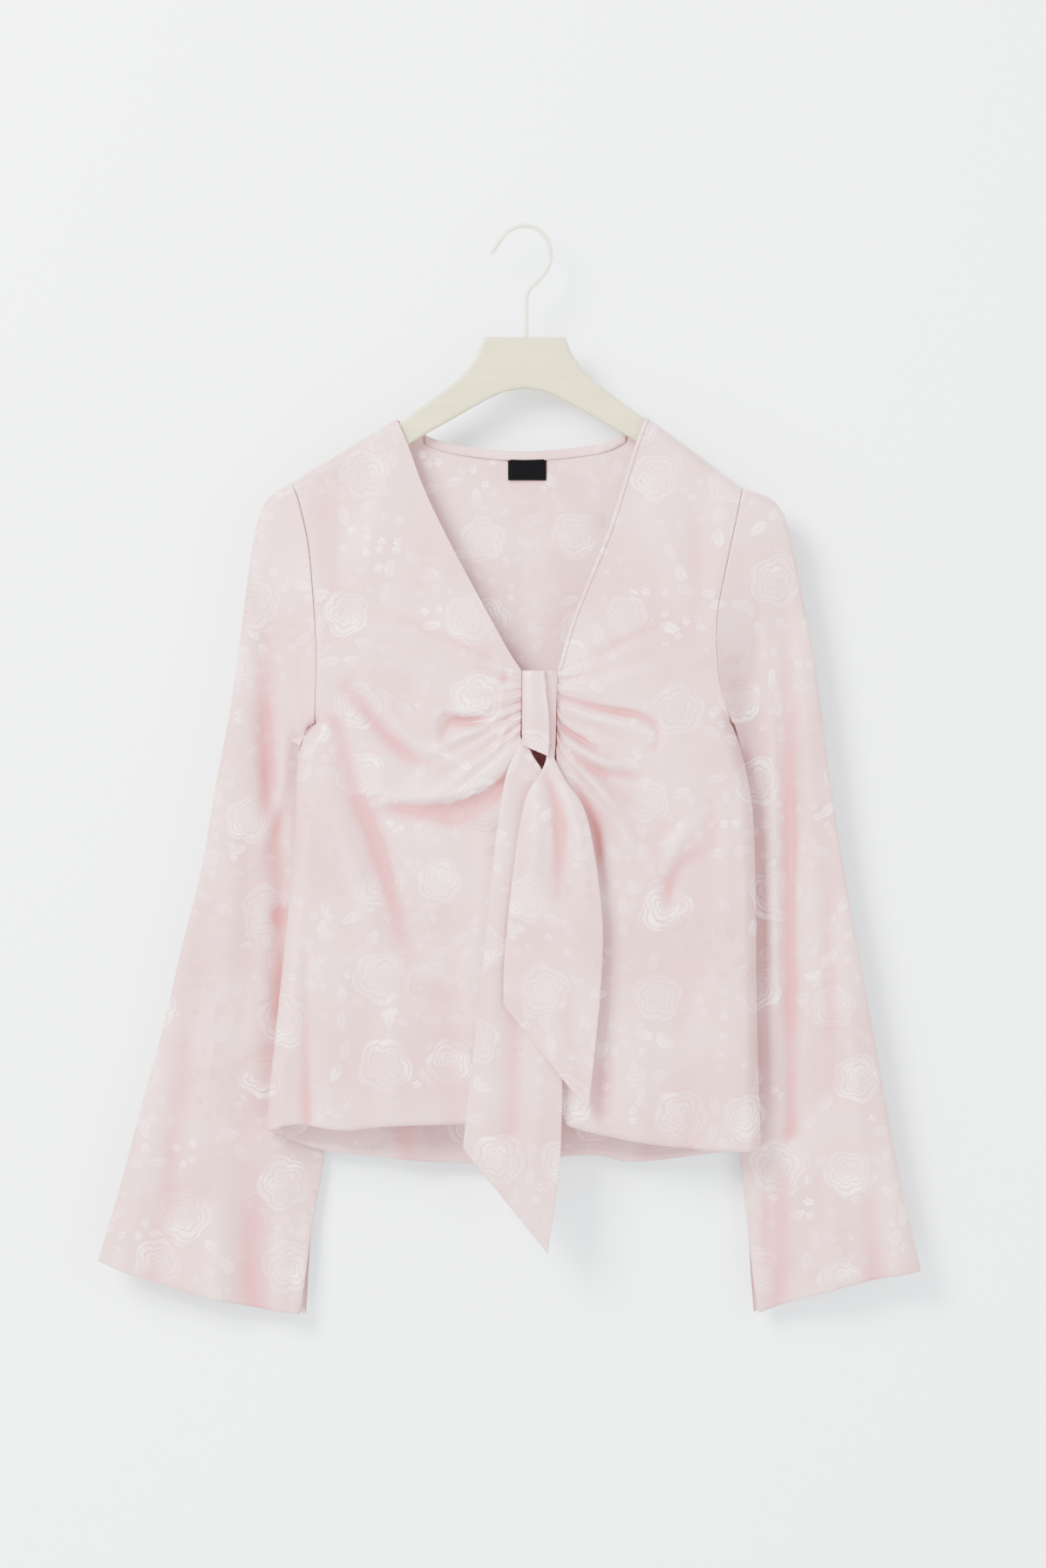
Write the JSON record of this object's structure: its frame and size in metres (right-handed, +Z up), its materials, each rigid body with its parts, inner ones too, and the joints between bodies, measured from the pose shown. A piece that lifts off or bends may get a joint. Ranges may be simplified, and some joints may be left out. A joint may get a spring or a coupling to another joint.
{
  "type": "blouse on a hanger",
  "caption": "Long-sleeved satin blouse with a V neck and a knotted front tie, hanging on a wooden hanger with a wire hook.",
  "frame": {"origin": "underside of the hook's crown, where a rail or peg carries the hanger", "axes": "+X to the wearer's left, -Y to the front, +Z up"},
  "size_m": [0.6805, 0.0657, 0.9023],
  "materials": {
    "satin": "pale pink jacquard satin with tone-on-tone roses",
    "label": "black woven label",
    "hanger_paint": "wood painted satin cream",
    "hook_paint": "wire painted cream"
  },
  "bodies": {
    "root": {"front_right": "satin", "front_left": "satin", "front_strip": "satin", "back": "satin", "neck_binding": "satin", "sleeve_right": "satin", "sleeve_left": "satin", "knot_band": "satin", "tie_long": "satin", "tie_short": "satin", "neck_label": "label", "hanger_body": "hanger_paint", "hanger_hook": "hook_paint"}
  },
  "joints": []
}
